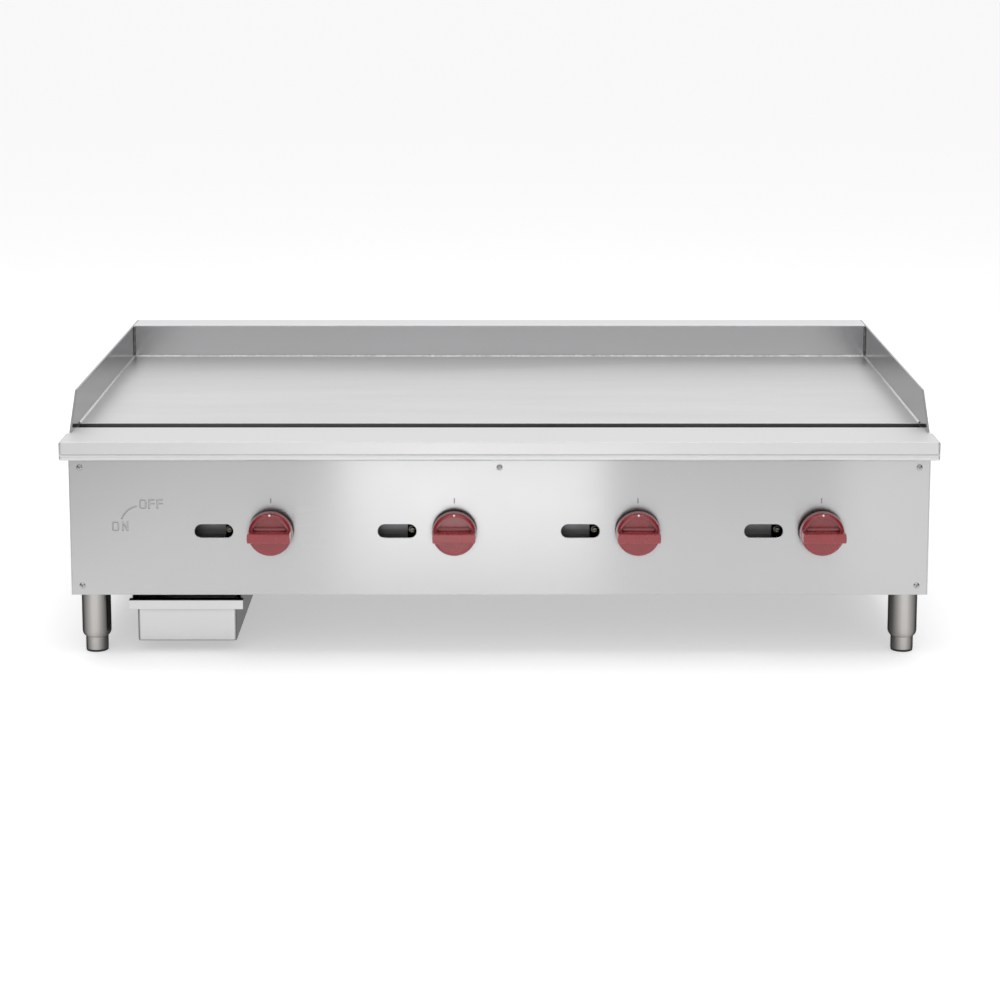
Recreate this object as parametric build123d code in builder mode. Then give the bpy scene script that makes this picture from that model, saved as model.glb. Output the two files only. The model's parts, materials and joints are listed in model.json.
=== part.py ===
from build123d import *
from math import cos, radians, sin
import os

# Countertop gas griddle, in millimetres. X runs along the front, from the user's left to right. The
# front faces -Y and Z is up. The origin is the centre of the footprint, on the surface under the feet.

# ---- driving dimensions ----
overall_width = 1219.0  # across the front rail
body_width = 1208.0  # across the side panels and the side splashes
body_depth = 727.0  # from the rail's face to the rear panel
inlet_reach = 38.0  # gas inlet nipple, behind the rear panel
overall_depth = body_depth + inlet_reach

cook_z = 323.0  # top of the griddle plate and of the ledge in front of it
body_z = 93.0  # lower edge of the cabinet
splash_rise = 51.0  # splash guards above the plate
plate_thickness = 19.0
sheet = 1.5  # cabinet sheet metal
splash_sheet = 3.0  # splash guards, welded to the plate

# ---- stations from front to back, along Y ----
rail_y = -overall_depth / 2
panel_y = rail_y + 45.0  # outer face of the front panel
rail_back_y = rail_y + 58.0  # where the rail's ends stop and the side splashes start
gutter_y = rail_y + 97.0
plate_y = rail_y + 127.0
baffle_y = rail_y + 140.0
splash_y = rail_y + 670.0
rear_y = rail_y + body_depth

# ---- stations from bottom to top, along Z ----
plate_z = cook_z - plate_thickness
splash_z = cook_z + splash_rise
knob_z = 185.0  # valve stems, burners and lighting slots share this height
half_body = body_width / 2
half_inside = half_body - sheet
half_plate = half_body - splash_sheet

# ---- front rail: a folded nose with a rolled lip under it ----
rail_drop = 27.4
rail_bend = 2.0
lip_radius = 4.8
crease_drop = 17.0
rail_end_length = 31.5

# ---- controls ----
burner_count = 4
burner_pitch = 257.8
controls_x = 65.5  # middle of the row of knobs
knob_xs = [controls_x + burner_pitch * (i - (burner_count - 1) / 2) for i in range(burner_count)]
slot_offset = -80.6  # each lighting slot lies to the left of its knob
slot_xs = [x + slot_offset for x in knob_xs]
slot_length = 53.6
slot_height = 19.0
tick_rise = 44.0
pilot_offset = 21.0  # each pilot screw lies right of its slot's middle
pilot_z = knob_z - 2.0

# ---- legs ----
leg_x = 577.0
leg_ys = {"front": rail_y + 90.0, "rear": rail_y + 672.0}
leg_radius = 20.65
foot_radius = 16.0
foot_top = 22.0
pad_height = 3.0
stud_radius = 8.0
gap = 0.3  # between faces of pieces that move past each other
running = 0.06  # radial clearance of shafts in their bores

# ---- grease path ----
chute_x = -458.0
chute_width = 84.0
gutter_floor = 283.0
tray_x = -446.0
tray_width = 141.0
tray_depth = 400.0
tray_y = rail_y + 78.0  # outer face of the tray's front wall
tray_z = 16.0
tray_top = 78.7
tray_sheet = 1.2
tray_lip_width = 162.0
tray_lip_drop = 13.5
tray_lip_reach = 10.0
tray_flange = 5.0

# ---- gas line ----
pipe_radius = 13.335
manifold_y = rail_y + 78.0
manifold_z = 146.0
feed_x = 545.0


def block(x_span, y_span, z_span, mode=Mode.ADD):
    """Adds or cuts a box, given its lowest and highest X, Y and Z."""
    spans = (x_span, y_span, z_span)
    with Locations(tuple((low + high) / 2 for low, high in spans)):
        Box(*(high - low for low, high in spans), mode=mode)


def rod(start, direction, length, radius, mode=Mode.ADD):
    """Adds or cuts a round rod that starts at a point and runs along a direction."""
    with Locations(Plane(origin=start, z_dir=direction).location):
        Cylinder(radius, length, align=(Align.CENTER, Align.CENTER, Align.MIN), mode=mode)


def save(piece, name):
    """Labels a finished piece and writes its STEP file."""
    piece.part.label = name
    export_step(piece.part, f"parts/{name}.step")


def mirror_span(inner, outer, side):
    """The span between two distances from the middle, on the left (-1) or right (+1)."""
    return (side * outer, side * inner) if side < 0 else (inner, outer)


os.makedirs("parts", exist_ok=True)

# ================= cooking top =================

with BuildPart() as griddle_plate:
    block((-half_plate, half_plate), (plate_y, splash_y), (plate_z, cook_z))
    top_front = griddle_plate.edges().filter_by(Axis.X).group_by(Axis.Z)[-1].sort_by(Axis.Y)[0]
    fillet(top_front, radius=0.8)
save(griddle_plate, "griddle_plate")

with BuildPart() as back_splash:
    block((-half_plate, half_plate), (splash_y, splash_y + splash_sheet), (plate_z, splash_z))
    block((-half_plate, half_plate), (splash_y, rear_y), (splash_z - splash_sheet, splash_z))
    top_edges = back_splash.edges().filter_by(Axis.X).group_by(Axis.Z)[-1]
    fillet(top_edges, radius=1.2)
save(back_splash, "back_splash")

# The side splashes rise from the ledge in a straight slope and then run level to the back. They reach
# down past the plate's edge, to which they are welded, but rest on the ledge in front of it.
slope_foot_y = rail_back_y + 2.0
slope_top_y = rail_y + 117.0
for side, hand in ((-1, "left"), (1, "right")):
    with BuildPart() as side_splash:
        with BuildSketch(Plane.YZ.offset(side * half_plate)):
            with BuildLine():
                Polyline(
                    (slope_foot_y, cook_z),
                    (slope_top_y, splash_z),
                    (rear_y, splash_z),
                    (rear_y, plate_z),
                    (plate_y, plate_z),
                    (plate_y, cook_z),
                    close=True,
                )
            make_face()
        extrude(amount=side * splash_sheet)
        fillet(side_splash.edges().filter_by(Axis.Y).group_by(Axis.Z)[-1], radius=0.8)
    save(side_splash, f"side_splash_{hand}")

# A weld bead fills the corner between the plate and the three splash guards, and the two upright
# corners behind.
bead = 2.4
with BuildPart() as splash_weld:
    for side in (-1, 1):
        with BuildSketch(Plane.XZ.offset(-plate_y - 1.0)):
            with BuildLine():
                corner = (side * half_plate, cook_z)
                along = (side * (half_plate - bead), cook_z)
                up = (side * half_plate, cook_z + bead)
                crown = (side * (half_plate - bead * 0.56), cook_z + bead * 0.56)
                Line(corner, along)
                ThreePointArc(along, crown, up)
                Line(up, corner)
            make_face()
        extrude(amount=-(splash_y - plate_y - 1.0))
        with BuildSketch(Plane.XY.offset(cook_z)):
            with BuildLine():
                corner = (side * half_plate, splash_y)
                along = (side * (half_plate - bead), splash_y)
                out = (side * half_plate, splash_y - bead)
                crown = (side * (half_plate - bead * 0.56), splash_y - bead * 0.56)
                Line(corner, along)
                ThreePointArc(along, crown, out)
                Line(out, corner)
            make_face()
        extrude(amount=splash_rise - 2.0)
    with BuildSketch(Plane.YZ.offset(-half_plate)):
        with BuildLine():
            Line((splash_y, cook_z), (splash_y - bead, cook_z))
            ThreePointArc(
                (splash_y - bead, cook_z),
                (splash_y - bead * 0.56, cook_z + bead * 0.56),
                (splash_y, cook_z + bead),
            )
            Line((splash_y, cook_z + bead), (splash_y, cook_z))
        make_face()
    extrude(amount=2 * half_plate)
save(splash_weld, "splash_weld")

# ================= front rail, gutter and chute =================


def rail_outline():
    """The nose's closed outline, in Y and Z, inside the sketch that calls it."""
    lip_z = cook_z - rail_drop + lip_radius
    lip_y = rail_y + lip_radius
    rise = radians(50)
    lip_start = (lip_y - lip_radius * cos(rise), lip_z + lip_radius * sin(rise))
    with BuildLine() as outline:
        Line((panel_y, cook_z), (rail_y + rail_bend, cook_z))
        RadiusArc((rail_y + rail_bend, cook_z), (rail_y, cook_z - rail_bend), -rail_bend)
        Line((rail_y, cook_z - rail_bend), (rail_y, cook_z - crease_drop))
        Line((rail_y, cook_z - crease_drop), lip_start)
        ThreePointArc(lip_start, (rail_y, lip_z), (lip_y, cook_z - rail_drop))
        Line((lip_y, cook_z - rail_drop), (panel_y, cook_z - rail_drop))
        Line((panel_y, cook_z - rail_drop), (panel_y, cook_z))
    return outline.line


half_rail = overall_width / 2 - rail_end_length
with BuildPart() as front_rail:
    with BuildSketch(Plane.YZ.offset(-half_rail)):
        make_face(rail_outline().edges())
        hollow_front = rail_y + 3.2
        with Locations(((hollow_front + panel_y - sheet) / 2, cook_z - rail_drop / 2)):
            Rectangle(
                panel_y - sheet - hollow_front,
                rail_drop - 2 * sheet,
                mode=Mode.SUBTRACT,
            )
    extrude(amount=2 * half_rail)
    block((-half_rail, half_rail), (panel_y - sheet, gutter_y), (cook_z - sheet, cook_z))
    block((-half_body, half_body), (rail_back_y, gutter_y), (cook_z - sheet, cook_z))
save(front_rail, "front_rail")

# Each end of the rail is a separate welded cap: the same nose, rounded where it turns the corner.
end_round = 4.0
for side, hand in ((-1, "left"), (1, "right")):
    with BuildPart() as rail_end:
        with BuildSketch(Plane.YZ.offset(side * half_rail)):
            make_face(rail_outline().edges())
            with Locations(((panel_y + rail_back_y) / 2, cook_z - rail_drop / 2)):
                Rectangle(rail_back_y - panel_y, rail_drop)
        extrude(amount=side * rail_end_length)
        with BuildSketch(Plane.XZ.offset(-rail_back_y)):
            with Locations((side * (half_rail + rail_end_length / 2), cook_z - rail_drop / 2)):
                outline = Rectangle(rail_end_length, rail_drop)
            outer_corners = outline.vertices().sort_by(Axis.X if side < 0 else -Axis.X)[:2]
            fillet(outer_corners, radius=end_round)
        extrude(amount=rail_back_y - rail_y, mode=Mode.INTERSECT)
        with BuildSketch(Plane.XY.offset(cook_z - rail_drop)):
            with Locations((side * (half_rail + rail_end_length / 2), (rail_y + rail_back_y) / 2)):
                plan = Rectangle(rail_end_length, rail_back_y - rail_y)
            front_corners = plan.vertices().group_by(Axis.Y)[0]
            fillet(front_corners.sort_by(Axis.X if side < 0 else -Axis.X)[0], radius=end_round)
        extrude(amount=rail_drop, mode=Mode.INTERSECT)
        block(
            mirror_span(half_rail, half_body, side),
            (rail_y + 5.0, panel_y - sheet),
            (cook_z - rail_drop + sheet, cook_z - sheet),
            mode=Mode.SUBTRACT,
        )
        block(
            mirror_span(half_rail, half_body, side),
            (panel_y, rail_back_y),
            (cook_z - rail_drop, cook_z - sheet),
            mode=Mode.SUBTRACT,
        )
    save(rail_end, f"rail_end_{hand}")

# The gutter is a folded channel between the ledge and the plate, open over the chute.
chute_span = (chute_x - chute_width / 2, chute_x + chute_width / 2)
chute_wall = 1.5
with BuildPart() as grease_gutter:
    block(
        (-half_plate, half_plate),
        (gutter_y - sheet, plate_y + sheet),
        (gutter_floor - sheet, plate_z),
    )
    block((-half_plate, half_plate), (gutter_y - sheet, plate_y), (plate_z - 1.0, cook_z - sheet))
    block(
        (-half_plate + sheet, half_plate - sheet),
        (gutter_y, plate_y),
        (gutter_floor, cook_z + 1.0),
        mode=Mode.SUBTRACT,
    )
    block(
        chute_span,
        (gutter_y, plate_y),
        (gutter_floor - 2 * sheet, gutter_floor + 1.0),
        mode=Mode.SUBTRACT,
    )
save(grease_gutter, "grease_gutter")

chute_bottom = body_z - 8.0
with BuildPart() as grease_chute:
    block(chute_span, (gutter_y, plate_y), (chute_bottom, gutter_floor))
    block(
        (chute_span[0] + chute_wall, chute_span[1] - chute_wall),
        (gutter_y + chute_wall, plate_y - chute_wall),
        (chute_bottom - 1.0, gutter_floor + 1.0),
        mode=Mode.SUBTRACT,
    )
save(grease_chute, "grease_chute")

# ================= cabinet =================

screw_x = 588.5
screw_low = body_z + 13.4
screw_high = body_z + 183.8
screw_spots = [(-screw_x, screw_low), (screw_x, screw_low)]
screw_spots += [(-screw_x, screw_high), (screw_x, screw_high), (0.0, screw_high)]
screw_hole = 2.3
frame_low = screw_high - 15.0  # lower edge of the cross member behind the panel

letter_height = 14.0
letter_width = 8.6
stroke = 2.1
stamp_depth = 0.7
slot_bevel = 0.8
stamp_taper = 30.0  # slope of the stamped walls, from square
legend_x = -505.0  # centre of the turning arc
legend_z = 194.0
legend_radius = 28.6
arc_start = 100
arc_sweep = 62
off_spot = (-489.0, 224.5)
on_spot = (-533.0, 192.5)


def stamp_letter(letter):
    """One stroked capital, in its own sketch, centred on the origin."""
    half_wide = (letter_width - stroke) / 2
    half_high = (letter_height - stroke) / 2
    with BuildSketch() as shape:
        if letter == "O":
            ring_width = letter_width + 1.2
            inner_height = letter_height - 2 * stroke
            RectangleRounded(ring_width, letter_height, 3.4)
            RectangleRounded(ring_width - 2 * stroke, inner_height, 3.4 - stroke, mode=Mode.SUBTRACT)
        else:
            with Locations((-half_wide, 0)):
                Rectangle(stroke, letter_height)
        if letter == "F":
            with Locations((0, half_high), (0, half_high - 5.4)):
                Rectangle(letter_width, stroke)
        if letter == "N":
            with Locations((half_wide, 0)):
                Rectangle(stroke, letter_height)
            with BuildLine():
                Polyline(
                    (-half_wide - stroke / 2, letter_height / 2),
                    (-half_wide + stroke / 2, letter_height / 2),
                    (half_wide + stroke / 2, -letter_height / 2),
                    (half_wide - stroke / 2, -letter_height / 2),
                    close=True,
                )
            make_face()
    return shape.sketch


panel_front = Plane(origin=(0, panel_y, 0), x_dir=(1, 0, 0), z_dir=(0, -1, 0))
panel_top = cook_z - sheet - 8.0
with BuildPart() as front_panel:
    block((-half_inside, half_inside), (panel_y, panel_y + sheet), (body_z, panel_top))
    block((-half_inside, half_inside), (panel_y, panel_y + 15.0), (body_z, body_z + sheet))
    with BuildSketch(panel_front):
        with Locations(*[(x, knob_z + tick_rise) for x in knob_xs]):
            Rectangle(1.6, 7.0)
    extrude(amount=-stamp_depth, taper=stamp_taper, mode=Mode.SUBTRACT)
    for word, (word_x, word_z), pitch in (("OFF", off_spot, 11.7), ("ON", on_spot, 13.5)):
        with BuildSketch(panel_front):
            for index, letter in enumerate(word):
                letter_x = word_x + pitch * (index - (len(word) - 1) / 2)
                with Locations((letter_x, word_z)):
                    add(stamp_letter(letter))
        extrude(amount=-stamp_depth, taper=stamp_taper, mode=Mode.SUBTRACT)
    with BuildSketch(panel_front):
        with BuildLine():
            CenterArc((legend_x, legend_z), legend_radius, arc_start, arc_sweep)
            CenterArc((legend_x, legend_z), legend_radius - stroke, arc_start, arc_sweep)
            for angle in (arc_start, arc_start + arc_sweep):
                ray = Vector(cos(radians(angle)), sin(radians(angle)))
                hub = Vector(legend_x, legend_z)
                Line(hub + ray * legend_radius, hub + ray * (legend_radius - stroke))
        make_face()
    extrude(amount=-stamp_depth, taper=stamp_taper, mode=Mode.SUBTRACT)
    with BuildSketch(panel_front):
        with Locations(*[(x, knob_z) for x in slot_xs]):
            SlotOverall(slot_length, slot_height)
    extrude(amount=-sheet, mode=Mode.SUBTRACT)
    with BuildSketch(panel_front):
        with Locations(*[(x, knob_z) for x in slot_xs]):
            SlotOverall(slot_length + 2 * slot_bevel, slot_height + 2 * slot_bevel)
    extrude(amount=-slot_bevel, taper=45, mode=Mode.SUBTRACT)
    with BuildSketch(panel_front):
        with Locations(*[(x, knob_z) for x in knob_xs]):
            Circle(6.5)
        with Locations(*screw_spots):
            Circle(screw_hole)
    extrude(amount=-sheet, mode=Mode.SUBTRACT)
save(front_panel, "front_panel")

for side, hand in ((-1, "left"), (1, "right")):
    with BuildPart() as side_panel:
        wall = mirror_span(half_inside, half_body, side)
        block(wall, (panel_y, rear_y), (body_z, plate_z))
        block(wall, (rail_back_y, plate_y), (plate_z, cook_z - sheet))
        block(
            mirror_span(half_inside - 24.0, half_inside, side),
            (panel_y + sheet + gap, panel_y + 2 * sheet + gap),
            (body_z + 2 * sheet, frame_low - 1.0),
        )
        with Locations(Plane(origin=(side * screw_x, panel_y, screw_low), z_dir=(0, 1, 0)).location):
            Cylinder(screw_hole, 20.0, mode=Mode.SUBTRACT)
    save(side_panel, f"side_panel_{hand}")

flue_slots = 8
flue_pitch = 142.0
flue_z = cook_z + 22.0
with BuildPart() as rear_panel:
    wall_y = (rear_y - sheet, rear_y)
    block((-half_inside, half_inside), wall_y, (body_z + sheet, plate_z))
    block((-half_plate, half_plate), wall_y, (plate_z, splash_z - splash_sheet))
    with BuildSketch(Plane.XZ.offset(-rear_y)):
        with Locations((0, flue_z)):
            with GridLocations(flue_pitch, 1, flue_slots, 1):
                SlotOverall(112.0, 18.0)
        with Locations((feed_x, manifold_z)):
            Circle(pipe_radius + 2.0)
    extrude(amount=sheet, mode=Mode.SUBTRACT)
save(rear_panel, "rear_panel")

air_slot = (90.0, 12.0)
with BuildPart() as bottom_pan:
    block((-half_inside, half_inside), (panel_y + 15.5, rear_y), (body_z, body_z + sheet))
    block(
        chute_span,
        (gutter_y, plate_y),
        (body_z - 1.0, body_z + 2 * sheet),
        mode=Mode.SUBTRACT,
    )
    with BuildSketch(Plane.XY.offset(body_z + sheet)):
        with Locations((96.0, (baffle_y + splash_y) / 2)):
            with GridLocations(130.0, 34.0, 7, 12):
                SlotOverall(*air_slot)
    extrude(amount=-sheet, mode=Mode.SUBTRACT)
save(bottom_pan, "bottom_pan")

with BuildPart() as panel_cross_member:
    half_member = half_inside - 0.5
    block(
        (-half_member, half_member),
        (panel_y + sheet, panel_y + sheet + 2.0),
        (frame_low, panel_top),
    )
    block((-half_member, half_member), (panel_y + sheet, gutter_y - 8.0), (panel_top - 2.0, panel_top))
    for spot_x, spot_z in screw_spots[2:]:
        rod((spot_x, panel_y, spot_z), (0, 1, 0), 6.0, screw_hole, mode=Mode.SUBTRACT)
save(panel_cross_member, "panel_cross_member")

with BuildPart() as plate_supports:
    for wall_y, inward in ((plate_y + 30.0, 1), (splash_y - 30.0, -1)):
        leg_span = sorted((wall_y, wall_y + inward * 4.0))
        shelf_span = sorted((wall_y, wall_y - inward * 27.0))
        block((-half_inside, half_inside), leg_span, (plate_z - 40.0, plate_z))
        block((-half_inside, half_inside), shelf_span, (plate_z - 4.0, plate_z))
save(plate_supports, "plate_supports")

with BuildPart() as heat_baffle:
    block((-half_inside, half_inside), (baffle_y, baffle_y + sheet), (body_z + sheet, plate_z - 4.0))
    for x in knob_xs:
        rod((x, baffle_y - 1, knob_z), (0, 1, 0), 2 * sheet + 2, 19.5, mode=Mode.SUBTRACT)
    for x in slot_xs:
        rod((x + pilot_offset, baffle_y - 1, pilot_z), (0, 1, 0), 2 * sheet + 2, 3.5, mode=Mode.SUBTRACT)
    rod((feed_x, baffle_y - 1, manifold_z), (0, 1, 0), 2 * sheet + 2, 15.5, mode=Mode.SUBTRACT)
save(heat_baffle, "heat_baffle")

# The pilot shield hangs behind the lighting slots. It is notched round each valve and each pilot screw.
shield_y = panel_y + 30.0
shield_sheet = 1.2
shield_floor = knob_z - 13.0
with BuildPart() as pilot_shield:
    shield_span = (slot_xs[0] - 45.0, knob_xs[-1] + 45.0)
    block(shield_span, (shield_y, shield_y + shield_sheet), (shield_floor, frame_low))
    block(
        shield_span,
        (panel_y + 2 * sheet + 2.0, shield_y),
        (frame_low - shield_sheet, frame_low),
    )
    block(shield_span, (panel_y + 7.0, shield_y), (shield_floor, shield_floor + shield_sheet))
    for x in knob_xs:
        block(
            (x - 20.0, x + 20.0),
            (panel_y + 3.0, shield_y + 2.0),
            (shield_floor - 1.0, knob_z + 20.0),
            mode=Mode.SUBTRACT,
        )
    for x in slot_xs:
        block(
            (x + pilot_offset - 7.0, x + pilot_offset + 11.0),
            (panel_y + 3.0, shield_y + 2.0),
            (shield_floor - 1.0, knob_z + 16.0),
            mode=Mode.SUBTRACT,
        )
save(pilot_shield, "pilot_shield")

# ================= gas line and burners =================

valve_half = 13.0
valve_front = panel_y + 17.0
valve_back = panel_y + 51.0
nose_front = panel_y + 10.0
stem_radius = 4.0
burner_radius = 17.0
burner_wall = 1.5
burner_mouth = panel_y + 68.0
burner_half_pitch = burner_pitch / 4
burner_bend_y = rail_y + 540.0
burner_end_y = baffle_y + 30.0
port_count = 16
port_pitch = 22.0

bend = 40.0
with BuildPart() as gas_manifold:
    with BuildLine():
        manifold_path = FilletPolyline(
            (slot_xs[0] - 10.0, manifold_y, manifold_z),
            (feed_x, manifold_y, manifold_z),
            (feed_x, rear_y - 60.0, manifold_z),
            radius=bend,
        )
    with BuildSketch(Plane(origin=manifold_path @ 0, z_dir=manifold_path % 0)):
        Circle(pipe_radius)
    sweep()
    for x in knob_xs:
        rod((x, manifold_y, manifold_z), (0, 0, 1), pipe_radius + 4.0, 10.0)
save(gas_manifold, "gas_manifold")

# The inlet nipple screws into a coupling inside and is held by a collar behind the rear panel.
coupling_y = rear_y - 60.0
collar_y = rear_y + 0.5
collar_length = 5.0
thread_end_y = rear_y + inlet_reach
with BuildPart() as gas_inlet:
    rod((feed_x, coupling_y, manifold_z), (0, 1, 0), 22.0, 18.5)
    rod((feed_x, coupling_y, manifold_z), (0, 1, 0), collar_y - coupling_y, 13.0)
    with BuildSketch(Plane(origin=(feed_x, collar_y, manifold_z), z_dir=(0, 1, 0))):
        RegularPolygon(20.0, 6)
    extrude(amount=collar_length)
    rod(
        (feed_x, collar_y + collar_length, manifold_z),
        (0, 1, 0),
        thread_end_y - collar_y - collar_length,
        pipe_radius,
    )
    chamfer(gas_inlet.edges().filter_by(GeomType.CIRCLE).sort_by(Axis.Y)[-1], length=1.0)
    rod((feed_x, coupling_y, manifold_z), (0, 1, 0), thread_end_y - coupling_y, 10.4, mode=Mode.SUBTRACT)
save(gas_inlet, "gas_inlet")

for number, x in enumerate(knob_xs, start=1):
    with BuildPart() as gas_valve:
        block(
            (x - valve_half, x + valve_half),
            (valve_front, valve_back),
            (knob_z - valve_half, knob_z + valve_half),
        )
        rod((x, nose_front, knob_z), (0, 1, 0), valve_front - nose_front, 9.0)
        rod((x, valve_back, knob_z), (0, 1, 0), 8.0, 6.5)
        rod(
            (x, manifold_y, manifold_z + pipe_radius + 4.0),
            (0, 0, 1),
            knob_z - valve_half - manifold_z - pipe_radius - 4.0,
            9.0,
        )
        rod((x, nose_front, knob_z), (0, 1, 0), 28.0, stem_radius + running, mode=Mode.SUBTRACT)
    save(gas_valve, f"gas_valve_{number}")

with BuildPart() as orifice_hoods:
    for x in knob_xs:
        with BuildSketch(Plane(origin=(x, valve_back + 8.0, knob_z), z_dir=(0, 1, 0))):
            RegularPolygon(7.5, 6)
        extrude(amount=7.0)
        rod((x, valve_back + 15.0, knob_z), (0, 1, 0), 4.0, 4.0)
save(orifice_hoods, "orifice_hoods")

# Each burner is a U of tube. Its right leg starts in front of the baffle, where the gas jet enters
# with air through two windows; the left leg is closed. Flame ports run along the top of both legs.
for number, x in enumerate(knob_xs, start=1):
    left_x = x - 2 * burner_half_pitch
    with BuildPart() as burner:
        for radius, start_y, end_y, mode in (
            (burner_radius, burner_mouth, burner_end_y, Mode.ADD),
            (burner_radius - burner_wall, burner_mouth - 1.0, burner_end_y + 3.0, Mode.SUBTRACT),
        ):
            with BuildLine():
                u_path = Line((x, start_y, knob_z), (x, burner_bend_y, knob_z))
                u_turn = ThreePointArc(
                    (x, burner_bend_y, knob_z),
                    (x - burner_half_pitch, burner_bend_y + burner_half_pitch, knob_z),
                    (left_x, burner_bend_y, knob_z),
                )
                Line((left_x, burner_bend_y, knob_z), (left_x, end_y, knob_z))
            with BuildSketch(Plane(origin=(x, start_y, knob_z), z_dir=(0, 1, 0))):
                Circle(radius)
            sweep(mode=mode)
        with BuildSketch(Plane.XY.offset(knob_z)):
            with Locations((x - burner_half_pitch, (baffle_y + 40.0 + burner_bend_y) / 2)):
                with GridLocations(2 * burner_half_pitch, port_pitch, 2, port_count):
                    Rectangle(12.0, 1.6)
        extrude(amount=burner_radius + 2.0, mode=Mode.SUBTRACT)
        block(
            (x - 20.0, x + 20.0),
            (burner_mouth + 6.0, burner_mouth + 16.0),
            (knob_z - 8.0, knob_z + 8.0),
            mode=Mode.SUBTRACT,
        )
    save(burner, f"burner_{number}")

shutter_length = 24.0
for number, x in enumerate(knob_xs, start=1):
    with BuildPart() as air_shutter:
        rod((x, burner_mouth, knob_z), (0, 1, 0), shutter_length, burner_radius + 1.8)
        rod(
            (x, burner_mouth - 1.0, knob_z),
            (0, 1, 0),
            shutter_length + 2.0,
            burner_radius + running,
            mode=Mode.SUBTRACT,
        )
        block(
            (x - 22.0, x + 22.0),
            (burner_mouth + 6.0, burner_mouth + 16.0),
            (knob_z - 8.0, knob_z + 8.0),
            mode=Mode.SUBTRACT,
        )
        block(
            (x - 3.0, x + 3.0),
            (burner_mouth + 18.0, burner_mouth + 22.0),
            (knob_z + burner_radius + 1.0, knob_z + burner_radius + 8.0),
        )
    save(air_shutter, f"air_shutter_{number}")

# The burners rest in a notched bar near the back.
rest_y = rail_y + 500.0
with BuildPart() as burner_rest:
    block((-half_inside, half_inside), (rest_y, rest_y + 2.0), (body_z + sheet, knob_z))
    for x in knob_xs:
        for leg in (x, x - 2 * burner_half_pitch):
            rod((leg, rest_y - 1, knob_z), (0, 1, 0), 4.0, burner_radius, mode=Mode.SUBTRACT)
    rod((feed_x, rest_y - 1, manifold_z), (0, 1, 0), 4.0, 15.5, mode=Mode.SUBTRACT)
save(burner_rest, "burner_rest")

# A pilot adjusting valve, with a slotted screw, shows in the right end of each lighting slot.
pilot_front = panel_y + 14.0
with BuildPart() as pilot_valves:
    for x in slot_xs:
        rod((x + pilot_offset, pilot_front + 4.0, pilot_z), (0, 1, 0), 30.0, 5.5)
        rod((x + pilot_offset, pilot_front, pilot_z), (0, 1, 0), 6.0, 3.2)
        block(
            (x + pilot_offset - 4.0, x + pilot_offset + 4.0),
            (pilot_front - 1.0, pilot_front + 1.2),
            (pilot_z - 0.5, pilot_z + 0.5),
            mode=Mode.SUBTRACT,
        )
        rod((x + pilot_offset, manifold_y, manifold_z), (0, 0, 1), pilot_z - manifold_z, 4.0)
        rod((x + pilot_offset, manifold_y, manifold_z), (0, 1, 0), 4.0, pipe_radius, mode=Mode.SUBTRACT)
        with Locations(Plane(origin=(x, manifold_y, manifold_z), z_dir=(1, 0, 0)).location):
            Cylinder(pipe_radius, 90.0, mode=Mode.SUBTRACT)
save(pilot_valves, "pilot_valves")

pilot_tube_radius = 2.4
with BuildPart() as pilot_burners:
    for x in slot_xs:
        with BuildLine():
            tube_path = Line(
                (x + pilot_offset, pilot_front + 34.0, pilot_z),
                (x + pilot_offset, baffle_y + 60.0, pilot_z),
            )
        with BuildSketch(Plane(origin=tube_path @ 0, z_dir=tube_path % 0)):
            Circle(pilot_tube_radius)
        sweep()
        rod((x + pilot_offset, baffle_y + 60.0, pilot_z - 6.0), (0, 0, 1), 26.0, 6.0)
save(pilot_burners, "pilot_burners")

# ================= knobs and stems =================

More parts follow.
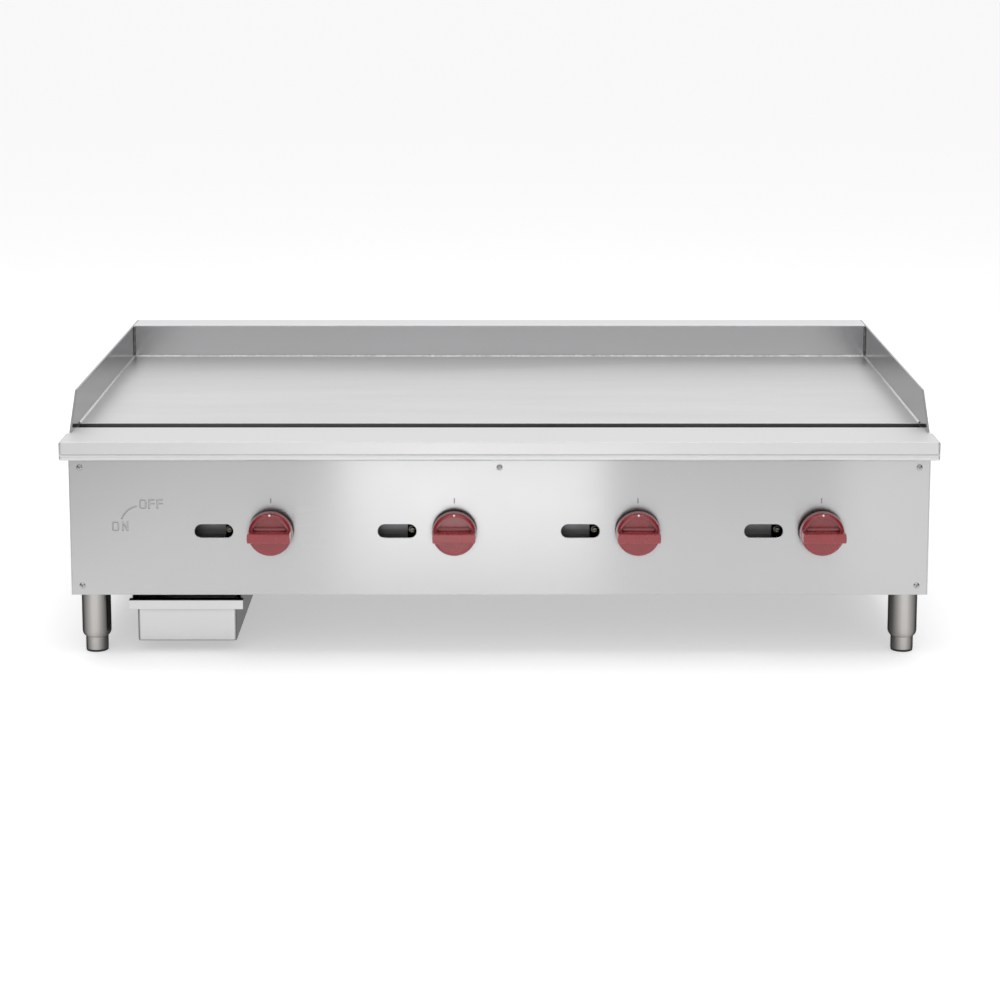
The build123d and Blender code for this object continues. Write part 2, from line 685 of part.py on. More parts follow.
knob_radius = 30.6
knob_skirt = 31.6
knob_back = 11.0
knob_face = 24.0
knob_rim = 5.0  # rounding of the face's outer edge
recess_floor = 21.5  # half-moon recess above the grip
recess_radius = 24.4
grip_front = 44.8
grip_edge = 1.8
grip_root = 4.0  # fillet between the grip and the recess
grip_waist = 6.1  # half thicknesses
grip_tip = 6.6
hub_radius = 12.0
for number, x in enumerate(knob_xs, start=1):
    axis = Axis((x, panel_y, knob_z), (0, -1, 0))
    with BuildPart() as grip:
        with BuildSketch(Plane(origin=(x, panel_y, knob_z), x_dir=(0, -1, 0), z_dir=(1, 0, 0))):
            with BuildLine():
                foot_half = grip_waist + grip_root
                arc_dip = grip_root * (1 - 0.5**0.5)
                tip = grip_front - grip_edge
                corner = grip_tip - grip_edge
                for sign in (-1, 1):
                    Line((recess_floor - 1.0, sign * foot_half), (recess_floor, sign * foot_half))
                    ThreePointArc(
                        (recess_floor, sign * foot_half),
                        (recess_floor + arc_dip, sign * (grip_waist + arc_dip)),
                        (recess_floor + grip_root, sign * grip_waist),
                    )
                    Line((recess_floor + grip_root, sign * grip_waist), (tip, sign * grip_tip))
                    RadiusArc((tip, sign * grip_tip), (grip_front, sign * corner), sign * grip_edge)
                Line((recess_floor - 1.0, -foot_half), (recess_floor - 1.0, foot_half))
                Line((grip_front, -corner), (grip_front, corner))
            make_face()
        extrude(amount=knob_radius, both=True)
        with Locations(Plane(origin=(x, panel_y, knob_z), z_dir=(0, -1, 0)).location):
            Cylinder(knob_radius - 0.6, 120.0, mode=Mode.INTERSECT)
    with BuildPart() as recess:
        rod((x, panel_y - recess_floor, knob_z), (0, -1, 0), 10.0, recess_radius)
        block(
            (x - knob_radius, x + knob_radius),
            (panel_y - knob_face - 10.0, panel_y - recess_floor + 1.0),
            (knob_z - knob_radius, knob_z),
            mode=Mode.SUBTRACT,
        )
    with BuildPart() as knob:
        with BuildSketch(Plane(origin=(x, panel_y, knob_z), x_dir=(1, 0, 0), z_dir=(0, 0, 1))):
            with BuildLine():
                Polyline(
                    (0, -2.0),
                    (hub_radius, -2.0),
                    (hub_radius, -knob_back),
                    (knob_skirt, -knob_back),
                    (knob_radius, knob_rim - knob_face),
                )
                rim_dip = knob_rim * (1 - 0.5**0.5)
                ThreePointArc(
                    (knob_radius, knob_rim - knob_face),
                    (knob_radius - rim_dip, rim_dip - knob_face),
                    (knob_radius - knob_rim, -knob_face),
                )
                Polyline(
                    (knob_radius - knob_rim, -knob_face),
                    (0, -knob_face),
                    (0, -2.0),
                )
            make_face()
        revolve(axis=axis, revolution_arc=360)
        add(recess.part, mode=Mode.SUBTRACT)
        add(grip.part)
        rod((x, panel_y - 2.0, knob_z), (0, -1, 0), 26.0, stem_radius + 0.05, mode=Mode.SUBTRACT)
    save(knob, f"knob_{number}")
    with BuildPart() as valve_stem:
        rod((x, panel_y + 36.0, knob_z), (0, -1, 0), 61.0, stem_radius)
    save(valve_stem, f"valve_stem_{number}")

# ================= legs and feet =================

leg_bottom = foot_top + gap
taper_top = 31.6
for end, y in leg_ys.items():
    for side, hand in ((-1, "left"), (1, "right")):
        x = side * leg_x
        leg_axis = Axis((x, y, 0), (0, 0, 1))
        with BuildPart() as leg:
            with BuildSketch(Plane(origin=(x, y, 0), x_dir=(1, 0, 0), z_dir=(0, -1, 0))):
                with BuildLine():
                    Polyline(
                        (stud_radius + running, leg_bottom),
                        (foot_radius + 1.2, leg_bottom),
                    )
                    RadiusArc((foot_radius + 1.2, leg_bottom), (leg_radius, taper_top), -12.0)
                    Polyline(
                        (leg_radius, taper_top),
                        (leg_radius, body_z),
                        (leg_radius - 2.0, body_z),
                        (leg_radius - 2.0, 40.0),
                        (stud_radius + running, 40.0),
                        (stud_radius + running, leg_bottom),
                    )
                make_face()
            revolve(axis=leg_axis, revolution_arc=360)
            block(
                (x - leg_radius + 0.5, x + leg_radius - 0.5),
                (y - leg_radius + 0.5, y + leg_radius - 0.5),
                (body_z - 3.0, body_z),
                mode=Mode.ADD,
            )
            rod((x, y, body_z - 4.0), (0, 0, 1), 3.0, leg_radius, mode=Mode.ADD)
        save(leg, f"leg_{end}_{hand}")
        with BuildPart() as foot:
            rod((x, y, pad_height), (0, 0, 1), foot_top - pad_height, foot_radius)
            rod((x, y, foot_top), (0, 0, 1), 38.0, stud_radius)
            fillet(foot.edges().filter_by(GeomType.CIRCLE).sort_by(Axis.Z)[0], radius=0.8)
        save(foot, f"foot_{end}_{hand}")
        with BuildPart() as foot_pad:
            rod((x, y, 0), (0, 0, 1), pad_height, foot_radius - 0.3)
            fillet(foot_pad.edges().filter_by(GeomType.CIRCLE).sort_by(Axis.Z)[0], radius=0.8)
        save(foot_pad, f"foot_pad_{end}_{hand}")

# ================= grease tray and its rails =================

tray_half = tray_width / 2
with BuildPart() as grease_tray:
    with BuildSketch(Plane.XY.offset(tray_z)):
        with Locations((tray_x, tray_y + tray_depth / 2)):
            RectangleRounded(tray_width, tray_depth, 4.5)
    extrude(amount=tray_top - tray_z)
    fillet(grease_tray.faces().sort_by(Axis.Z)[0].edges(), radius=2.0)
    offset(amount=-tray_sheet, openings=grease_tray.faces().sort_by(Axis.Z)[-1])
    for side in (-1, 1):
        inner = tray_half - tray_sheet
        span = sorted((tray_x + side * inner, tray_x + side * (tray_half + tray_flange)))
        block(span, (tray_y + 8.0, tray_y + tray_depth - 8.0), (tray_top - tray_sheet, tray_top))
    lip_y = tray_y - tray_lip_reach
    half_lip = tray_lip_width / 2
    lip_span = (tray_x - half_lip, tray_x + half_lip)
    block(lip_span, (lip_y, tray_y + tray_sheet), (tray_top - tray_sheet, tray_top))
    block(lip_span, (lip_y, lip_y + tray_sheet), (tray_top - tray_lip_drop, tray_top))
    lip_front_edge = grease_tray.edges().filter_by(Axis.X).group_by(Axis.Y)[0].sort_by(Axis.Z)[-1]
    fillet(lip_front_edge, radius=1.0)
save(grease_tray, "grease_tray")

rail_web = tray_half + tray_flange + 0.7
rail_span_y = (tray_y + tray_sheet + 1.0, tray_y + tray_depth - 12.0)
rail_shelf_z = tray_top - tray_sheet - gap
with BuildPart() as tray_rails:
    for side in (-1, 1):
        web = sorted((tray_x + side * rail_web, tray_x + side * (rail_web + sheet)))
        shelf = sorted((tray_x + side * (tray_half + 0.8), tray_x + side * (rail_web + sheet)))
        flange = sorted((tray_x + side * rail_web, tray_x + side * (rail_web + 12.0)))
        block(web, rail_span_y, (rail_shelf_z - sheet, body_z))
        block(shelf, rail_span_y, (rail_shelf_z - sheet, rail_shelf_z))
        block(flange, rail_span_y, (body_z - sheet, body_z))
save(tray_rails, "tray_rails")

# ================= fasteners =================

head_radius = 4.2
head_height = 2.0
with BuildPart() as panel_screws:
    for spot_x, spot_z in screw_spots:
        with BuildSketch(Plane(origin=(spot_x, panel_y, spot_z), x_dir=(1, 0, 0), z_dir=(0, 0, 1))):
            with BuildLine():
                Line((0, 0), (head_radius, 0))
                ThreePointArc(
                    (head_radius, 0),
                    (head_radius * 0.72, -head_height * 0.72),
                    (0, -head_height),
                )
                Line((0, -head_height), (0, 0))
            make_face()
        revolve(axis=Axis((spot_x, panel_y, spot_z), (0, -1, 0)), revolution_arc=360)
        rod((spot_x, panel_y, spot_z), (0, 1, 0), 9.0, screw_hole - 0.2)
        for size_x, size_z in ((4.2, 1.0), (1.0, 4.2)):
            block(
                (spot_x - size_x / 2, spot_x + size_x / 2),
                (panel_y - head_height - 1.0, panel_y - head_height + 1.3),
                (spot_z - size_z / 2, spot_z + size_z / 2),
                mode=Mode.SUBTRACT,
            )
save(panel_screws, "panel_screws")
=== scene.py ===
"""Countertop gas griddle: materials, knob marks, floor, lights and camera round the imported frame."""

import json
from math import radians

import bpy
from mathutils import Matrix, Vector


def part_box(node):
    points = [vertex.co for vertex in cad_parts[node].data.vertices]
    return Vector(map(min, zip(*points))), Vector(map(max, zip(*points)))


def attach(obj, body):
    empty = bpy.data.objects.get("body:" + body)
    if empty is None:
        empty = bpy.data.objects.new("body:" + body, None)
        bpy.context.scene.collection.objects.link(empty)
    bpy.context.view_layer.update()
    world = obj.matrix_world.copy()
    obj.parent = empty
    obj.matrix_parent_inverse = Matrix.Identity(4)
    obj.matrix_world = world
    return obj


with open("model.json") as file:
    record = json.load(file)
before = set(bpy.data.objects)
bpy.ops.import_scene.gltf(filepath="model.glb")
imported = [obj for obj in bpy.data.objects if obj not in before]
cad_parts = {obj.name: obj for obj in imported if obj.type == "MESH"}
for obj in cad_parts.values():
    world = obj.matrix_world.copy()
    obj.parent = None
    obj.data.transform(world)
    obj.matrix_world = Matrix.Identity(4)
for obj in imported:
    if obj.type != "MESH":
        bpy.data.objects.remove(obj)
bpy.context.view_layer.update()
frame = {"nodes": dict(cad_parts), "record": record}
nodes = frame["nodes"]

# Driving values, in metres, degrees and watts.
MM = 0.001
CAMERA_PLACE = (0.0007, -3.7199, 1.0432)
CAMERA_DIP = 8.889
CAMERA_LENS = 88.93
CAMERA_SHIFT = -0.2
FLOOR_SIZE = 90.0
FLOOR_TONE = 0.74
# painted light on the floor: a glow that lifts the shade under the object, and a pool of light that fades
# away from it
FLOOR_PAINTED_GLOW = 0.48
FLOOR_FAR = 0.5  # what is left of tone and glow away from the object
FLOOR_FRONT = (1.45, 3.0)  # the floor dims over this stretch in front
FLOOR_SIDE = (0.8, 1.5)  # and over this stretch to each side
FLOOR_WIDENING = 0.2
ROOM_BRIGHT = 1.05
ROOM_DARK = 0.12
CEILING_DIM = 0.68
DOT_RADIUS = 1.5 * MM
DOT_THICKNESS = 0.3 * MM
DOT_BACK = 21.5 * MM  # behind the front of the grip
DOT_RISE = 28.2 * MM  # above the knob's axis
DOT_TILT = 59.0  # square to the rounded rim


# --- Material helpers -------------------------------------------------------------------------


class Shader:
    """A node tree with one Principled shader, and short calls for adding nodes to it."""

    def __init__(self, name):
        self.material = bpy.data.materials.new(name)
        self.material.use_nodes = True
        self.tree = self.material.node_tree
        self.bsdf = self.tree.nodes["Principled BSDF"]

    @classmethod
    def around(cls, material):
        """The same calls for a material that is already made."""
        shader = cls.__new__(cls)
        shader.material = material
        shader.tree = material.node_tree
        shader.bsdf = shader.tree.nodes["Principled BSDF"]
        return shader

    def node(self, kind, **settings):
        """A new node, with its own settings."""
        made = self.tree.nodes.new(kind)
        for key, value in settings.items():
            setattr(made, key, value)
        return made

    def link(self, source, target):
        self.tree.links.new(source, target)

    def set(self, **values):
        """Constants set directly on the shader, by socket name with spaces as underscores."""
        for key, value in values.items():
            self.bsdf.inputs[key.replace("_", " ")].default_value = value

    def noise(self, scale, detail=3.0, roughness=0.55):
        """Noise over the object's own coordinates, with a scale per metre on each axis."""
        place = self.node("ShaderNodeTexCoord")
        stretch = self.node("ShaderNodeMapping")
        stretch.inputs["Scale"].default_value = scale
        grain = self.node("ShaderNodeTexNoise")
        grain.inputs["Scale"].default_value = 1.0
        grain.inputs["Detail"].default_value = detail
        grain.inputs["Roughness"].default_value = roughness
        self.link(place.outputs["Object"], stretch.inputs["Vector"])
        self.link(stretch.outputs["Vector"], grain.inputs["Vector"])
        return grain.outputs["Fac"]

    def spread(self, source, low, high, near=0.3, far=0.7):
        """Turns a noise value into a number between low and high."""
        ramp = self.node("ShaderNodeMapRange")
        ramp.inputs["From Min"].default_value = near
        ramp.inputs["From Max"].default_value = far
        ramp.inputs["To Min"].default_value = low
        ramp.inputs["To Max"].default_value = high
        self.link(source, ramp.inputs["Value"])
        return ramp.outputs["Result"]

    def tint(self, source, dark, light):
        """Mixes two colours by a noise value."""
        mix = self.node("ShaderNodeMix", data_type="RGBA")
        mix.inputs["A"].default_value = (*dark, 1.0)
        mix.inputs["B"].default_value = (*light, 1.0)
        self.link(source, mix.inputs["Factor"])
        self.link(mix.outputs["Result"], self.bsdf.inputs["Base Color"])

    def relief(self, height, distance, strength=1.0, edge=0.0):
        """Bump from a height value, over edges softened by a small radius."""
        bump = self.node("ShaderNodeBump")
        bump.inputs["Strength"].default_value = strength
        bump.inputs["Distance"].default_value = distance
        self.link(height, bump.inputs["Height"])
        if edge:
            self.link(self.soft_edge(edge), bump.inputs["Normal"])
        self.link(bump.outputs["Normal"], self.bsdf.inputs["Normal"])

    def top_faces(self, colour_elsewhere=None, colour_on_top=None):
        """Gives faces that look up, or all the others, a colour of their own; the script uses it for
        painted light on tops and painted shade on other faces.
        """
        colour = self.bsdf.inputs["Base Color"]
        base = colour.links[0].from_socket
        facing = self.node("ShaderNodeNewGeometry")
        height = self.node("ShaderNodeSeparateXYZ")
        mix = self.node("ShaderNodeMix", data_type="RGBA")
        self.link(facing.outputs["True Normal"], height.inputs["Vector"])
        self.link(self.spread(height.outputs["Z"], 0.0, 1.0, 0.5, 0.8), mix.inputs["Factor"])
        for side, own in (("A", colour_elsewhere), ("B", colour_on_top)):
            if own:
                mix.inputs[side].default_value = (*own, 1.0)
            else:
                self.link(base, mix.inputs[side])
        self.link(mix.outputs["Result"], colour)

    def darken_by(self, amount):
        """Multiplies the base colour by a value."""
        colour = self.bsdf.inputs["Base Color"]
        base = colour.links[0].from_socket
        shade = self.node("ShaderNodeMix", data_type="RGBA", blend_type="MULTIPLY")
        shade.inputs["Factor"].default_value = 1.0
        self.link(base, shade.inputs["A"])
        self.link(amount, shade.inputs["B"])
        self.link(shade.outputs["Result"], colour)

    def paint_side_shade(self, darkest):
        """Paints shade into the base colour of faces that look to the left or right."""
        facing = self.node("ShaderNodeNewGeometry")
        part = self.node("ShaderNodeSeparateXYZ")
        turned = self.node("ShaderNodeMath", operation="ABSOLUTE")
        self.link(facing.outputs["Normal"], part.inputs["Vector"])
        self.link(part.outputs["X"], turned.inputs[0])
        self.darken_by(self.spread(turned.outputs["Value"], 1.0, darkest, 0.15, 0.8))

    def shade_hollows(self, reach):
        """Paints shade into the base colour in hollows, by ambient occlusion, where nearby parts would
        block the light.
        """
        hollow = self.node("ShaderNodeAmbientOcclusion", samples=8)
        hollow.inputs["Distance"].default_value = reach
        self.darken_by(self.spread(hollow.outputs["AO"], 0.0, 1.0, 0.25, 0.75))

    def soft_edge(self, radius):
        """Normals rounded over edges, within a small radius."""
        bevel = self.node("ShaderNodeBevel", samples=4)
        bevel.inputs["Radius"].default_value = radius
        return bevel.outputs["Normal"]

    def brush_along(self, direction, turn=0.25):
        """Sets the direction of brushing; highlights spread across it."""
        tangent = self.node("ShaderNodeCombineXYZ")
        for socket, value in zip("XYZ", direction):
            tangent.inputs[socket].default_value = value
        self.link(tangent.outputs["Vector"], self.bsdf.inputs["Tangent"])
        self.bsdf.inputs["Anisotropic Rotation"].default_value = turn


def scaled(colour, factor):
    """A colour made brighter or darker, up to white."""
    return tuple(min(1.0, part * factor) for part in colour)


def brushed_steel(
    name,
    colour,
    grain,
    brush,
    roughness,
    stretch=0.75,
    contrast=0.012,
    edge=0.5 * MM,
    hollow=0.0,
    rim=0.76,
    sides=1.0,
):
    """Metal with fine lines.

    grain is the noise scale per metre on each axis, small along the brushing, and brush is the
    brushing's direction. stretch spreads highlights across it, and rim tints grazing reflections.
    hollow is the reach of the painted shade in corners, and sides the painted shade on sideways faces.
    """
    shader = Shader(name)
    shader.set(Metallic=1.0, Anisotropic=stretch, Specular_Tint=(rim, rim, rim, 1.0))
    lines = shader.noise(grain, detail=2.0)
    cloud = shader.noise((5.0, 5.0, 5.0), detail=4.0)
    shader.tint(shader.spread(lines, 0.0, 1.0), scaled(colour, 1 - contrast), scaled(colour, 1 + contrast))
    blend = shader.node("ShaderNodeMath", operation="ADD")
    shader.link(shader.spread(lines, -0.015, 0.015), blend.inputs[0])
    shader.link(shader.spread(cloud, roughness - 0.02, roughness + 0.02), blend.inputs[1])
    shader.link(blend.outputs["Value"], shader.bsdf.inputs["Roughness"])
    shader.relief(lines, 0.004 * MM, 0.2, edge)
    shader.brush_along(brush)
    if hollow:
        shader.shade_hollows(hollow)
    if sides < 1:
        shader.paint_side_shade(sides)
    return shader.material


def plain_metal(
    name, colour, roughness, speckle=400.0, depth=0.02 * MM, contrast=0.06, metallic=1.0, hollow=0.0
):
    """Cast, plated or machined metal with an even fine grain."""
    shader = Shader(name)
    shader.set(Metallic=metallic)
    grain = shader.noise((speckle,) * 3)
    cloud = shader.noise((18.0,) * 3)
    shader.tint(shader.spread(cloud, 0.0, 1.0), scaled(colour, 1 - contrast), scaled(colour, 1 + contrast))
    shader.link(shader.spread(grain, roughness - 0.05, roughness + 0.05), shader.bsdf.inputs["Roughness"])
    shader.relief(grain, depth, 0.5, 0.4 * MM)
    if hollow:
        shader.shade_hollows(hollow)
    return shader.material


# --- Materials, one for each slot of the record -------------------------------------------------

ACROSS = (1.0, 0.0, 0.0)
BACKWARD = (0.0, 1.0, 0.0)
GRAIN_ACROSS = (6.0, 1500.0, 1500.0)
GRAIN_BACKWARD = (1500.0, 6.0, 1500.0)


def griddle_top():
    """Ground plate: faint cloudy patches from polishing on top; its cut edges are dark, partly the colour
    of rolled steel and partly painted shade.
    """
    shader = Shader("plate_steel")
    shader.set(Metallic=1.0, Anisotropic=0.5, Specular_Tint=(0.76, 0.76, 0.76, 1.0))
    lines = shader.noise((6.0, 900.0, 900.0), detail=2.0)
    cloud = shader.noise((2.0, 9.0, 9.0), detail=6.0)
    shader.tint(shader.spread(cloud, 0.0, 1.0, 0.3, 0.7), (0.79, 0.785, 0.78), (0.89, 0.89, 0.89))
    # painted shade on the cut edges, over the darker colour of rolled steel
    shader.top_faces(colour_elsewhere=(0.3, 0.295, 0.29))
    shader.link(shader.spread(cloud, 0.38, 0.28), shader.bsdf.inputs["Roughness"])
    shader.relief(lines, 0.006 * MM, 0.2, 0.3 * MM)
    shader.brush_along(ACROSS)
    return shader.material


def back_guard():
    """The back splash, with a painted highlight that makes its top flange and other upward faces brighter.
    """
    material = brushed_steel("splash_steel", (0.46, 0.455, 0.465), GRAIN_ACROSS, ACROSS, 0.2)
    shader = Shader.around(material)
    # painted highlight: upward faces lighter, as light from above makes them
    shader.top_faces(colour_on_top=(0.93, 0.93, 0.93))
    return material


def weld_bead():
    """Stacked ripples along a bright bead."""
    shader = Shader("weld_steel")
    shader.set(Metallic=1.0, Roughness=0.28)
    ripple = shader.noise((260.0,) * 3, detail=2.0)
    shader.tint(shader.spread(ripple, 0.0, 1.0), (0.45, 0.45, 0.44), (0.8, 0.8, 0.79))
    shader.relief(ripple, 0.3 * MM, 0.6)
    return shader.material


def knob_gloss():
    """Glossy moulded red plastic, with painted shade where it meets the panel."""
    shader = Shader("knob_red")
    shader.set(IOR=1.5, Coat_Weight=0.7, Coat_Roughness=0.06)
    cloud = shader.noise((60.0,) * 3)
    shader.tint(shader.spread(cloud, 0.0, 1.0), (0.25, 0.005, 0.012), (0.29, 0.008, 0.016))
    shader.link(shader.spread(cloud, 0.22, 0.3), shader.bsdf.inputs["Roughness"])
    shader.relief(shader.noise((500.0,) * 3), 0.015 * MM, 0.2, 0.8 * MM)
    # painted shade on the knob near the panel
    shader.shade_hollows(14 * MM)
    return shader.material


def rubber():
    """Matte black rubber with a coarse grain."""
    shader = Shader("pad_rubber")
    shader.set(IOR=1.5)
    grain = shader.noise((350.0,) * 3)
    shader.tint(shader.spread(grain, 0.0, 1.0), (0.012, 0.012, 0.012), (0.025, 0.025, 0.025))
    shader.link(shader.spread(grain, 0.6, 0.8), shader.bsdf.inputs["Roughness"])
    shader.relief(grain, 0.1 * MM, 0.5)
    return shader.material


def white_ink():
    """Matte white paint for the knob marks."""
    shader = Shader("index_white")
    shader.set(IOR=1.45)
    grain = shader.noise((900.0,) * 3)
    shader.tint(shader.spread(grain, 0.0, 1.0), (0.8, 0.8, 0.78), (0.88, 0.88, 0.86))
    shader.link(shader.spread(grain, 0.4, 0.5), shader.bsdf.inputs["Roughness"])
    return shader.material


MATERIALS = {
    # painted shade and painted reflection: hollow darkens the panel round each knob, standing in for the
    # knob's dark reflection
    "stainless_sheet": brushed_steel(
        "stainless_sheet", (0.49, 0.49, 0.495), GRAIN_ACROSS, ACROSS, 0.24, 0.8, hollow=26 * MM
    ),
    "splash_steel": back_guard(),
    "plate_steel": griddle_top(),
    # painted shade: hollow darkens the gutter's corners and inside
    "gutter_steel": brushed_steel(
        "gutter_steel", (0.34, 0.34, 0.34), GRAIN_ACROSS, ACROSS, 0.35, hollow=60 * MM
    ),
    "weld_steel": weld_bead(),
    # painted shade: the legs' sideways faces are darkened
    "leg_steel": brushed_steel(
        "leg_steel", (0.46, 0.445, 0.43), GRAIN_ACROSS, ACROSS, 0.2, 0.6, rim=0.3, sides=0.22
    ),
    # painted shade in the screws' recesses
    "screw_steel": plain_metal("screw_steel", (0.5, 0.5, 0.5), 0.14, hollow=2.5 * MM),
    "knob_red": knob_gloss(),
    # painted shade: hollow darkens the fittings where parts crowd round them
    "brass_fittings": plain_metal("brass_fittings", (0.38, 0.355, 0.3), 0.25, hollow=90 * MM),
    "valve_aluminium": plain_metal("valve_aluminium", (0.7, 0.71, 0.72), 0.45, 250.0, 0.05 * MM),
    "burner_steel": plain_metal("burner_steel", (0.42, 0.42, 0.42), 0.5, 160.0),
    # painted shade: hollow darkens the sheet inside and under the body
    "zinc_sheet": plain_metal(
        "zinc_sheet", (0.5, 0.51, 0.52), 0.4, 60.0, 0.01 * MM, 0.12, hollow=150 * MM
    ),
    "pipe_black": plain_metal("pipe_black", (0.03, 0.03, 0.03), 0.5, 300.0, 0.05 * MM, 0.2, 0.0),
    "pad_rubber": rubber(),
}
SIDE_SPLASH = brushed_steel("splash_steel_side", (0.43, 0.425, 0.435), GRAIN_BACKWARD, BACKWARD, 0.14, 0.6)
SIDE_SHEET = brushed_steel("stainless_sheet_side", (0.47, 0.47, 0.475), GRAIN_BACKWARD, BACKWARD, 0.27)
# painted light: the rail is the stainless sheet in a lighter copy, with painted shade in its folds
PAINTED_LIGHT_RAIL_SHEET = brushed_steel(
    "stainless_sheet_rail_painted_light", (0.7, 0.7, 0.7), GRAIN_ACROSS, ACROSS, 0.5, 0.3, hollow=5 * MM
)
# painted highlight: the rail's upward faces lighter still
Shader.around(PAINTED_LIGHT_RAIL_SHEET).top_faces(colour_on_top=(0.88, 0.88, 0.88))
# painted shade: hollow darkens the inside of the tray, and sides its sideways faces
TRAY_SHEET = brushed_steel(
    "stainless_sheet_tray", (0.63, 0.63, 0.635), GRAIN_ACROSS, ACROSS, 0.34, 0.4, hollow=45 * MM, sides=0.35
)
# painted shade: a darker copy of the zinc sheet, standing in for the shade inside the lighting slots
PAINTED_SHADE_SHIELD_SHEET = plain_metal("zinc_sheet_shield_painted_shade", (0.16, 0.16, 0.165), 0.4, 60.0, 0.01 * MM, 0.1)
OWN_FINISH = {
    "front_rail": PAINTED_LIGHT_RAIL_SHEET,
    "rail_end_left": PAINTED_LIGHT_RAIL_SHEET,
    "rail_end_right": PAINTED_LIGHT_RAIL_SHEET,
    "side_splash_left": SIDE_SPLASH,
    "side_splash_right": SIDE_SPLASH,
    "side_panel_left": SIDE_SHEET,
    "side_panel_right": SIDE_SHEET,
    "grease_tray": TRAY_SHEET,
    "pilot_shield": PAINTED_SHADE_SHIELD_SHEET,
}

for subpart in frame["record"]["subparts"]:
    name = subpart["node"]
    for slot in nodes[name].material_slots:
        slot.material = OWN_FINISH.get(name, MATERIALS[subpart["material_slot"]])


# --- Knob marks ---------------------------------------------------------------------------------


def index_dot(number, material):
    """A round white mark on the rim of a knob's face, at the top when the knob is off."""
    low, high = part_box(f"knob_{number}")
    centre_x = (low.x + high.x) / 2
    centre_z = (low.z + high.z) / 2
    spot = Vector((centre_x, low.y + DOT_BACK, centre_z + DOT_RISE))
    bpy.ops.mesh.primitive_cylinder_add(
        vertices=32,
        radius=DOT_RADIUS,
        depth=DOT_THICKNESS,
        location=spot,
        rotation=(radians(DOT_TILT), 0, 0),
    )
    dot = bpy.context.object
    dot.name = f"index_dot_{number}"
    dot.data.materials.append(material)
    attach(dot, f"control_{number}")


ink = white_ink()
for number in range(1, 5):
    index_dot(number, ink)


# --- Floor, lights and camera -------------------------------------------------------------------


def floor():
    """A wide pale floor with painted light: a painted glow that lifts the shade under the object, and a
    painted pool of light, as its colour and glow dim away from the object.
    """
    bpy.ops.mesh.primitive_plane_add(size=FLOOR_SIZE, location=(0, 0, 0))
    plane = bpy.context.object
    plane.name = "floor"
    shader = Shader("floor_white")
    shader.set(Roughness=0.9, Specular_IOR_Level=0.0, Emission_Color=(1, 1, 1, 1))
    place = shader.node("ShaderNodeTexCoord")
    split = shader.node("ShaderNodeSeparateXYZ")
    shader.link(place.outputs["Object"], split.inputs["Vector"])
    front = shader.spread(split.outputs["Y"], 1.0, 0.0, -FLOOR_FRONT[1], -FLOOR_FRONT[0])
    sideways = shader.node("ShaderNodeMath", operation="ABSOLUTE")
    shader.link(split.outputs["X"], sideways.inputs[0])
    widening = shader.node("ShaderNodeMath", operation="MULTIPLY_ADD")
    shader.link(split.outputs["Y"], widening.inputs[0])
    widening.inputs[1].default_value = -FLOOR_WIDENING
    shader.link(sideways.outputs["Value"], widening.inputs[2])
    side = shader.spread(widening.outputs["Value"], 0.0, 1.0, *FLOOR_SIDE)
    dim = shader.node("ShaderNodeMath", operation="MAXIMUM")
    shader.link(front, dim.inputs[0])
    shader.link(side, dim.inputs[1])
    # painted pool of light: the floor's colour and glow fade away from the object
    shader.tint(dim.outputs["Value"], (FLOOR_TONE,) * 3, (FLOOR_TONE * FLOOR_FAR,) * 3)
    glow = shader.spread(dim.outputs["Value"], FLOOR_PAINTED_GLOW, FLOOR_PAINTED_GLOW * FLOOR_FAR, 0.0, 1.0)
    shader.link(glow, shader.bsdf.inputs["Emission Strength"])
    plane.data.materials.append(shader.material)


def soft_light(name, place, target, size, power, **seen_by):
    """A rectangular softbox that faces a point, with settings for which rays may see it."""
    data = bpy.data.lights.new(name, "AREA")
    data.shape = "RECTANGLE"
    data.size, data.size_y = size
    data.energy = power
    lamp = bpy.data.objects.new(name, data)
    lamp.location = place
    lamp.rotation_euler = (Vector(target) - Vector(place)).to_track_quat("-Z", "Y").to_euler()
    lamp.visible_camera = False
    for key, value in seen_by.items():
        setattr(lamp, key, value)
    bpy.context.scene.collection.objects.link(lamp)


def room_ramp(tree, source, near, far, low, high):
    """A smooth change of the room's brightness along one part of the direction."""
    ramp = tree.nodes.new("ShaderNodeMapRange")
    ramp.interpolation_type = "SMOOTHSTEP"
    for key, value in (("From Min", near), ("From Max", far), ("To Min", low), ("To Max", high)):
        ramp.inputs[key].default_value = value
    tree.links.new(source, ramp.inputs["Value"])
    return ramp.outputs["Result"]


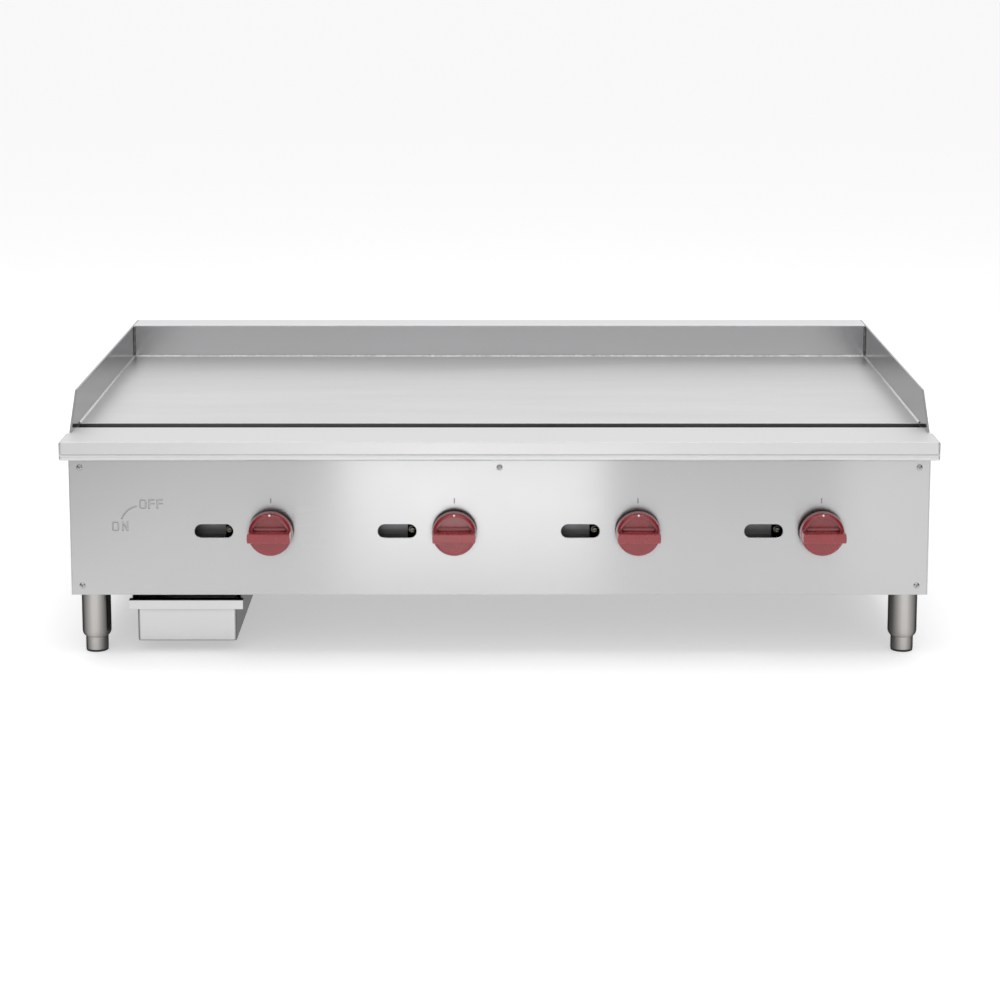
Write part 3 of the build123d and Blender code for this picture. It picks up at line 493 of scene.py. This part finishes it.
def room():
    """An even white room, darker to the sides and a little darker overhead."""
    world = bpy.data.worlds.new("studio")
    world.use_nodes = True
    tree = world.node_tree
    direction = tree.nodes.new("ShaderNodeTexCoord")
    split = tree.nodes.new("ShaderNodeSeparateXYZ")
    sideways = tree.nodes.new("ShaderNodeMath")
    sideways.operation = "ABSOLUTE"
    both = tree.nodes.new("ShaderNodeMath")
    both.operation = "MULTIPLY"
    background = tree.nodes["Background"]
    background.inputs["Color"].default_value = (1, 1, 1, 1)
    tree.links.new(direction.outputs["Generated"], split.inputs["Vector"])
    tree.links.new(split.outputs["X"], sideways.inputs[0])
    walls = room_ramp(tree, sideways.outputs["Value"], 0.25, 0.85, ROOM_BRIGHT, ROOM_DARK)
    ceiling = room_ramp(tree, split.outputs["Z"], 0.6, 1.0, 1.0, CEILING_DIM)
    tree.links.new(walls, both.inputs[0])
    tree.links.new(ceiling, both.inputs[1])
    tree.links.new(both.outputs["Value"], background.inputs["Strength"])
    bpy.context.scene.world = world
    bpy.context.scene.view_settings.view_transform = "Standard"


def lights():
    """A softbox overhead, a strip that draws the folded edges, and two low lights for the panel."""
    soft_light("softbox_top", (0.0, -0.3, 2.8), (0, 0, 0.2), (3.2, 2.4), 45, visible_glossy=False)
    soft_light("edge_strip", (0.0, -1.3, 2.5), (0, -0.38, 0.3), (3.2, 0.3), 11, visible_diffuse=False)
    soft_light("glow_middle", (-0.05, -1.15, 0.1), (-0.05, 0, 0.15), (0.46, 0.2), 0.38)
    soft_light("glow_right", (0.8, -1.15, 0.1), (0.75, 0, 0.15), (0.4, 0.2), 0.14)


def camera():
    """The photograph's viewpoint: in front, above the plate, with a long lens."""
    data = bpy.data.cameras.new("camera")
    data.lens = CAMERA_LENS
    data.shift_y = CAMERA_SHIFT
    data.clip_end = 2 * FLOOR_SIZE
    view = bpy.data.objects.new("camera", data)
    view.location = CAMERA_PLACE
    view.rotation_euler = (radians(90 - CAMERA_DIP), 0, 0)
    bpy.context.scene.collection.objects.link(view)
    bpy.context.scene.camera = view


floor()
room()
lights()
camera()
